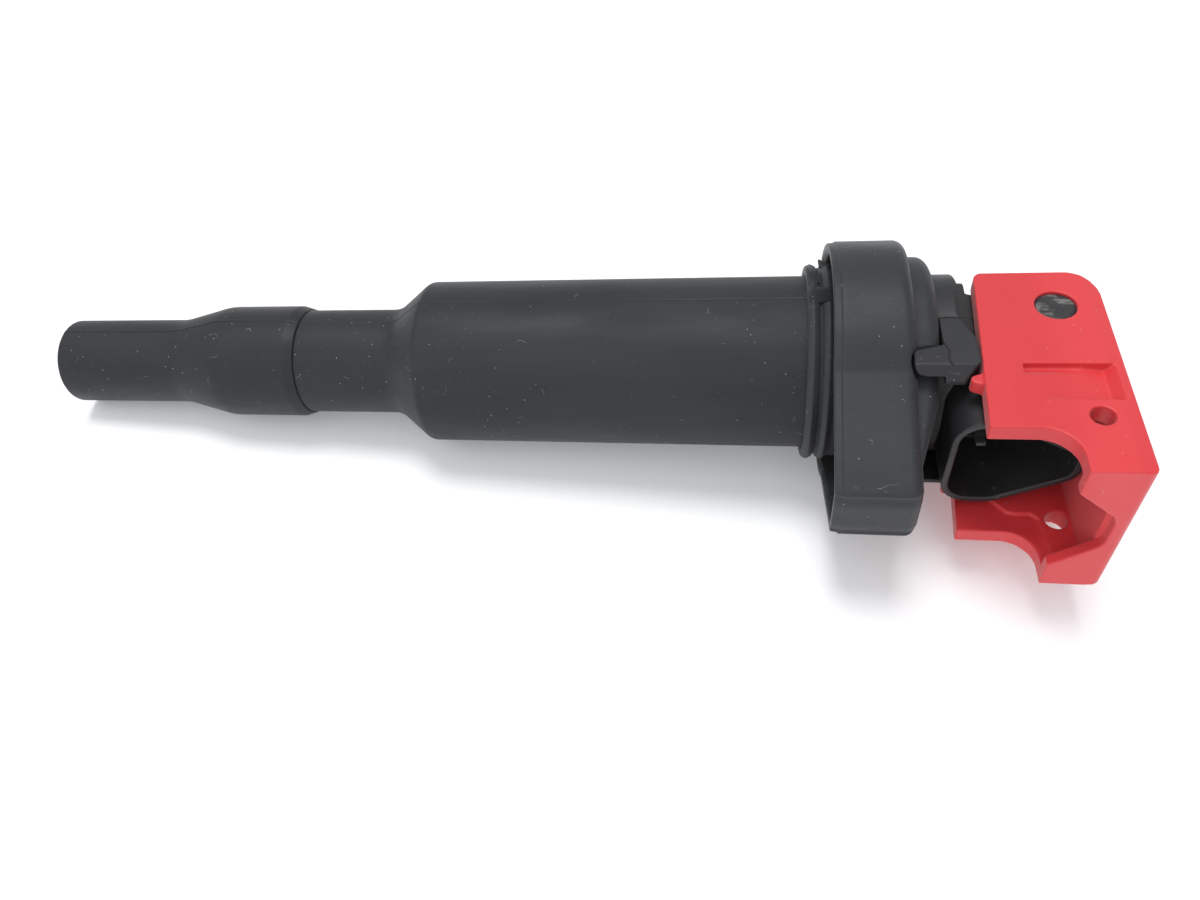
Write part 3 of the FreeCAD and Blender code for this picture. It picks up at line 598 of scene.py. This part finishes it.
def lint(tree, vector, amount):
    """Dust specks and short curled fibres, as a factor."""
    cells = add(tree, "ShaderNodeTexVoronoi", {"Scale": 560.0}, {"Vector": vector})
    speck = ramp(tree, cells.outputs["Distance"], 0.035, 0.075, 1.0, 0.0)
    patches = noise(tree, vector, 45.0, 1.0)
    dusty = ramp(tree, patches, 0.36, 0.56)
    speck = maths(tree, "MULTIPLY", speck, dusty)
    curl = noise(tree, vector, 250.0, 0.5, 0.6)
    line = ramp(tree, maths(tree, "ABSOLUTE", maths(tree, "SUBTRACT", curl, 0.5), 0.0),
                0.0018, 0.0055, 1.0, 0.0)
    short = ramp(tree, noise(tree, vector, 330.0, 0.0), 0.71, 0.76, 0.0, 0.5)
    fibre = maths(tree, "MULTIPLY", line, short)
    both = maths(tree, "MAXIMUM", speck, fibre)
    return maths(tree, "MULTIPLY", both, amount)


def bumps(tree, layers):
    """Chain of bump nodes from (height socket, depth in millimetres)."""
    normal = None
    for height, depth in layers:
        settings = {"Strength": 1.0, "Distance": depth * MM}
        links = {"Height": height}
        if normal is not None:
            links["Normal"] = normal
        normal = add(tree, "ShaderNodeBump", settings, links).outputs[0]
    return normal


def new_material(name, metallic=0.0, specular=0.5, coat=0.0, sheen=0.0):
    """Empty node material: its tree and its shader."""
    material = bpy.data.materials.new(name)
    material.use_nodes = True
    tree = material.node_tree
    shader = tree.nodes["Principled BSDF"]
    shader.inputs["Metallic"].default_value = metallic
    shader.inputs["Specular IOR Level"].default_value = specular
    shader.inputs["Coat Weight"].default_value = coat
    shader.inputs["Coat Roughness"].default_value = 0.2
    shader.inputs["Sheen Weight"].default_value = sheen
    shader.inputs["Sheen Roughness"].default_value = 0.5
    return material, tree, shader


def join(tree, shader, colour, roughness, normal):
    """Link a colour, a roughness and a normal to the shader."""
    tree.links.new(colour, shader.inputs["Base Color"])
    tree.links.new(roughness, shader.inputs["Roughness"])
    tree.links.new(normal, shader.inputs["Normal"])


def rubber(name, dark, light, rough=(0.5, 0.66), dust=0.75, sheen=0.06):
    """Moulded rubber: cloudy bloom, fine pitting, flow lines, dust and lint."""
    material, tree, shader = new_material(name, specular=0.32, sheen=sheen)
    flat = place(tree)
    long = place(tree, (0.25, 1.0, 1.0))
    bloom = noise(tree, long, 55.0, 4.0, 0.4)
    colour = mix(tree, ramp(tree, bloom, 0.3, 0.72), dark, light)
    powder = ramp(tree, noise(tree, flat, 900.0, 3.0), 0.62, 0.8, 0.0, 0.35)
    colour = mix(tree, powder, colour, tuple(min(1.0, c * 2.6) for c in light))
    dirt = lint(tree, flat, dust)
    colour = mix(tree, dirt, colour, (0.42, 0.42, 0.41))
    roughness = ramp(tree, noise(tree, long, 120.0, 3.0), 0.3, 0.7, *rough)
    fine = noise(tree, flat, 2600.0, 2.0)
    medium = noise(tree, long, 240.0, 3.0)
    wide = noise(tree, flat, 60.0, 1.0)
    join(tree, shader, colour, roughness,
         bumps(tree, [(wide, 0.10), (medium, 0.035), (fine, 0.012), (dirt, 0.03)]))
    return material


def plastic(name, dark, light, rough=(0.3, 0.42), dust=0.5, grain=0.006, coat=0.0, specular=0.5,
            sheen=0.0):
    """Moulded plastic: faint flow marks, fine spark-eroded grain and a little dust."""
    material, tree, shader = new_material(name, specular=specular, coat=coat, sheen=sheen)
    flat = place(tree)
    flow = noise(tree, place(tree, (1.0, 0.3, 1.0)), 45.0, 3.0, 0.8)
    colour = mix(tree, ramp(tree, flow, 0.3, 0.7), dark, light)
    dirt = lint(tree, flat, dust)
    colour = mix(tree, dirt, colour, (0.62, 0.55, 0.54))
    roughness = ramp(tree, noise(tree, flat, 160.0, 3.0), 0.3, 0.7, *rough)
    fine = noise(tree, flat, 2200.0, 3.0)
    wide = noise(tree, flat, 70.0, 1.0)
    join(tree, shader, colour, roughness, bumps(tree, [(wide, 0.05), (fine, grain)]))
    return material


def scratched(name):
    """Cut-off gate: pale streaks on dark plastic."""
    material, tree, shader = new_material(name, specular=0.4)
    streak = noise(tree, place(tree, (0.35, 1.6, 1.0), (0, 0, 0.9)), 620.0, 5.0, 1.4)
    cross = noise(tree, place(tree), 260.0, 3.0, 1.0)
    both = maths(tree, "MULTIPLY", streak, cross)
    colour = mix(tree, ramp(tree, both, 0.22, 0.40), (0.025, 0.025, 0.026), (0.17, 0.165, 0.165))
    roughness = ramp(tree, streak, 0.3, 0.7, 0.4, 0.7)
    join(tree, shader, colour, roughness, bumps(tree, [(both, 0.12)]))
    return material


def metal(name, dark, light, rough=(0.2, 0.4), stretch=(1.0, 0.05, 0.05), stain=0.3, metallic=1.0):
    """Drawn or turned metal: fine lines round the part and cloudy tarnish."""
    material, tree, shader = new_material(name, metallic=metallic)
    lines = noise(tree, place(tree, stretch), 4000.0, 3.0)
    cloud = noise(tree, place(tree), 150.0, 4.0, 0.5)
    colour = mix(tree, ramp(tree, lines, 0.3, 0.7), dark, light)
    colour = mix(tree, ramp(tree, cloud, 0.5, 0.75, 0.0, stain), colour,
                 tuple(c * 0.45 for c in dark))
    roughness = ramp(tree, cloud, 0.3, 0.7, *rough)
    join(tree, shader, colour, roughness, bumps(tree, [(lines, 0.006), (cloud, 0.01)]))
    return material


def wound(name, dark, light, pitch):
    """Enamelled wire wound side by side, its turns running round X."""
    material, tree, shader = new_material(name, metallic=0.75, coat=0.5)
    flat = place(tree)
    settings = {"wave_type": "BANDS", "bands_direction": "X", "wave_profile": "SIN",
                "Scale": 1000.0 * math.pi / (10 * pitch), "Distortion": 0.25, "Detail": 1.0}
    turns = add(tree, "ShaderNodeTexWave", settings, {"Vector": flat}).outputs["Fac"]
    cloud = noise(tree, flat, 90.0, 3.0)
    colour = mix(tree, turns, dark, light)
    colour = mix(tree, ramp(tree, cloud, 0.4, 0.8, 0.0, 0.5), colour, tuple(c * 0.6 for c in dark))
    roughness = ramp(tree, cloud, 0.3, 0.7, 0.25, 0.45)
    join(tree, shader, colour, roughness, bumps(tree, [(turns, pitch * 0.35)]))
    return material


def laminated(name, dark, light, direction):
    """Stacked or rolled silicon steel with thin dark lines between the sheets."""
    material, tree, shader = new_material(name, metallic=0.9)
    flat = place(tree)
    settings = {"wave_type": "BANDS", "bands_direction": direction, "wave_profile": "SAW",
                "Scale": 1000.0 * math.pi / (10 * 0.7), "Distortion": 0.1}
    sheets = add(tree, "ShaderNodeTexWave", settings, {"Vector": flat}).outputs["Fac"]
    seam = ramp(tree, sheets, 0.0, 0.16, 1.0, 0.0)
    cloud = noise(tree, flat, 130.0, 5.0, 0.6)
    colour = mix(tree, ramp(tree, cloud, 0.3, 0.7), dark, light)
    colour = mix(tree, seam, colour, (0.03, 0.03, 0.035))
    roughness = ramp(tree, cloud, 0.3, 0.7, 0.3, 0.55)
    join(tree, shader, colour, roughness, bumps(tree, [(seam, -0.03), (cloud, 0.01)]))
    return material


def paint(material, *pieces):
    """Give pieces or CAD nodes one material in every slot."""
    for piece in pieces:
        piece.data.materials.clear()
        piece.data.materials.append(material)


def install(piece, body, slot, material, *nodes):
    """Hang a finished piece on its body, paint it and hide the CAD nodes it stands for; its slot is not used."""
    paint(material, piece)
    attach(piece, body)
    if nodes:
        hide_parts(*nodes)
    return piece


# ---------------------------------------------------------------- assembly


def build_pieces():
    """Make every detailed piece and hang it on its body."""
    boot = rubber("boot_rubber", (0.0135, 0.0145, 0.017), (0.020, 0.0215, 0.025))
    sleeve = rubber("sleeve_rubber", (0.0135, 0.0145, 0.017), (0.021, 0.0225, 0.026))
    seal = rubber("seal_rubber", (0.019, 0.0205, 0.023), (0.031, 0.033, 0.037), rough=(0.46, 0.6))
    housing = plastic("housing_plastic", (0.013, 0.013, 0.015), (0.020, 0.020, 0.022),
                      rough=(0.42, 0.58), grain=0.012)
    red = plastic("lever_plastic", (0.60, 0.026, 0.032), (0.66, 0.034, 0.040), rough=(0.42, 0.52),
                  dust=0.3, grain=0.004, specular=0.45, sheen=0.16)
    brass = metal("turned_brass", (0.60, 0.42, 0.16), (0.80, 0.60, 0.28))
    steel = metal("spring_steel", (0.32, 0.32, 0.33), (0.55, 0.55, 0.56), stretch=(1, 1, 0.05))
    install(make_boot(), "coil", "boot_rubber", boot, "plug_boot")
    install(make_sleeve(), "coil", "sleeve_rubber", sleeve, "body_sleeve")
    install(make_seal(), "coil", "seal_rubber", seal, "flange_seal")
    install(make_head(), "coil", "housing_plastic", housing, "head_housing")
    install(make_lever(), "lever", "lever_plastic", red, "lever")
    install(make_tip(), "contact", "brass", brass, "contact_tip")
    spring = install(make_spring(), "coil", "spring_steel", steel, "contact_spring")
    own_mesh(spring)
    for name, spans, seed in (("torn_ear_a", (66, 84, 145.1, 147.0), 1),
                              ("torn_ear_b", (88, 99, 145.3, 148.6), 2),
                              ("torn_ear_c", (52, 60, 147.4, 149.3), 5)):
        install(torn_ear(name, *spans, seed), "coil", "seal_rubber", seal)
    for piece, slot in make_flash():
        install(piece, "coil", slot, seal if slot == "seal_rubber" else housing)
    gate = scratched("gate_scar")
    install(trunnion_face("trunnion_face_upper", 1), "coil", "housing_plastic", gate)
    install(trunnion_face("trunnion_face_lower", -1), "coil", "housing_plastic", gate)
    epoxy = plastic("potting_epoxy", (0.010, 0.010, 0.011), (0.018, 0.018, 0.018),
                    rough=(0.12, 0.25), dust=0.2, coat=0.6)
    install(make_potting(), "coil", "potting_epoxy", epoxy, "head_potting")
    return brass


def finish_nodes(brass):
    """Give every carried-over CAD node its material."""
    copper = metal("bare_copper", (0.62, 0.27, 0.15), (0.82, 0.42, 0.26))
    looks = {
        "case_plastic": plastic("case_plastic", (0.030, 0.028, 0.026), (0.045, 0.042, 0.040),
                                rough=(0.4, 0.55), dust=0.0),
        "silicon_steel": laminated("silicon_steel", (0.30, 0.31, 0.33), (0.44, 0.45, 0.47), "Y"),
        "brass": brass,
        "tinned_brass": metal("tinned_brass", (0.62, 0.62, 0.60), (0.80, 0.80, 0.78),
                              stretch=(0.1, 1.0, 1.0)),
        "copper": copper,
        "ceramic": plastic("ceramic", (0.74, 0.72, 0.67), (0.82, 0.80, 0.75), rough=(0.35, 0.5),
                           dust=0.0, grain=0.01),
        "magnet": metal("magnet", (0.16, 0.16, 0.17), (0.24, 0.24, 0.25), metallic=0.6),
        "buffer_rubber": rubber("buffer_rubber", (0.05, 0.03, 0.02), (0.07, 0.05, 0.035), dust=0.0),
        "bobbin_plastic": plastic("bobbin_plastic", (0.48, 0.42, 0.30), (0.56, 0.50, 0.38),
                                  rough=(0.35, 0.5), dust=0.0),
        "board": plastic("board", (0.015, 0.10, 0.045), (0.02, 0.14, 0.06), dust=0.0, coat=0.4),
        "chip_epoxy": plastic("chip_epoxy", (0.015, 0.015, 0.016), (0.024, 0.024, 0.025),
                              rough=(0.45, 0.6), dust=0.0, grain=0.01),
    }
    windings = {
        "primary_winding": wound("primary_wire", (0.30, 0.08, 0.03), (0.72, 0.30, 0.13), 0.8),
        "secondary_winding": wound("secondary_wire", (0.38, 0.13, 0.04), (0.70, 0.34, 0.14), 0.25),
    }
    slots = node_slots()
    for name, node in frame["nodes"].items():
        if not node.hide_render:
            paint(windings.get(name) or looks[slots[name]], node)


def node_slots():
    """Material slot of each CAD node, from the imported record."""
    return {entry["node"]: entry["material_slot"] for entry in frame["record"]["subparts"]}


# ---------------------------------------------------------------- studio


FLOOR_GLOW = 0.12


def build_floor():
    """Pale floor that touches the boot's mouth and the seal."""
    contact_a = Vector((0.0, 0.0, BOOT[0].z * 0.766))
    contact_b = Vector(((SKIRT_RIM + SHOULDER) / 2, 0.0, -SEAL_BACK))
    along = (contact_b - contact_a).normalized()
    up = along.cross(Vector((0, 1, 0)))
    if up.z < 0:
        up = -up
    side = up.cross(along)
    centre = (contact_a + contact_b) / 2 - up * 0.05
    reach = 2500.0
    corners = [centre + along * a * reach + side * b * reach
               for a, b in ((-1, -1), (1, -1), (1, 1), (-1, 1))]
    mesh = bpy.data.meshes.new("floor")
    mesh.from_pydata([corner * MM for corner in corners], [], [(0, 1, 2, 3)])
    floor = bpy.data.objects.new("floor", mesh)
    bpy.context.scene.collection.objects.link(floor)
    material, tree, shader = new_material("floor_paper", specular=0.2)
    cloud = noise(tree, place(tree), 30.0, 2.0)
    colour = mix(tree, cloud, (0.90, 0.90, 0.905), (0.92, 0.92, 0.925))
    roughness = ramp(tree, cloud, 0.3, 0.7, 0.75, 0.85)
    shader.inputs["Emission Color"].default_value = (0.95, 0.97, 1.0, 1.0)
    shader.inputs["Emission Strength"].default_value = FLOOR_GLOW
    join(tree, shader, colour, roughness, bumps(tree, [(noise(tree, place(tree), 1500.0), 0.003)]))
    paint(material, floor)


def soft_light(name, toward, strength, spread_angle):
    """Distant light from a direction, softened over an angle in degrees."""
    light = bpy.data.lights.new(name, "SUN")
    light.energy = strength
    light.angle = math.radians(spread_angle)
    holder = bpy.data.objects.new(name, light)
    holder.rotation_euler = Vector(toward).to_track_quat("Z", "Y").to_euler()
    bpy.context.scene.collection.objects.link(holder)


def build_light():
    """Even white surroundings, a soft key from almost overhead and a broad fill in front."""
    world = bpy.data.worlds.new("studio")
    world.use_nodes = True
    background = world.node_tree.nodes["Background"]
    background.inputs["Color"].default_value = (0.94, 0.97, 1.0, 1.0)
    background.inputs["Strength"].default_value = 0.6
    bpy.context.scene.world = world
    soft_light("key", (-0.06, 0.17, 0.98), 1.6, 24)
    soft_light("fill", (-0.3, -0.62, 0.72), 0.9, 70)


def build_camera():
    """Camera above the near side of the head, looking down across the coil."""
    right = Vector((0.9816, 0.1345, -0.1359))
    up = Vector((-0.0156, 0.7646, 0.6443))
    back = right.cross(up)
    camera = bpy.data.cameras.new("camera")
    camera.lens = 28.59
    camera.sensor_width = 36.0
    camera.shift_x = 0.0403
    camera.shift_y = -0.0163
    camera.clip_start = 0.01
    holder = bpy.data.objects.new("camera", camera)
    turn = Matrix((right, up, back)).transposed().to_4x4()
    holder.matrix_world = Matrix.Translation(Vector((133.776, -123.235, 126.868)) * MM) @ turn
    bpy.context.scene.collection.objects.link(holder)
    bpy.context.scene.camera = holder


finish_nodes(build_pieces())
build_floor()
build_light()
build_camera()
bpy.context.scene.view_settings.view_transform = "Standard"
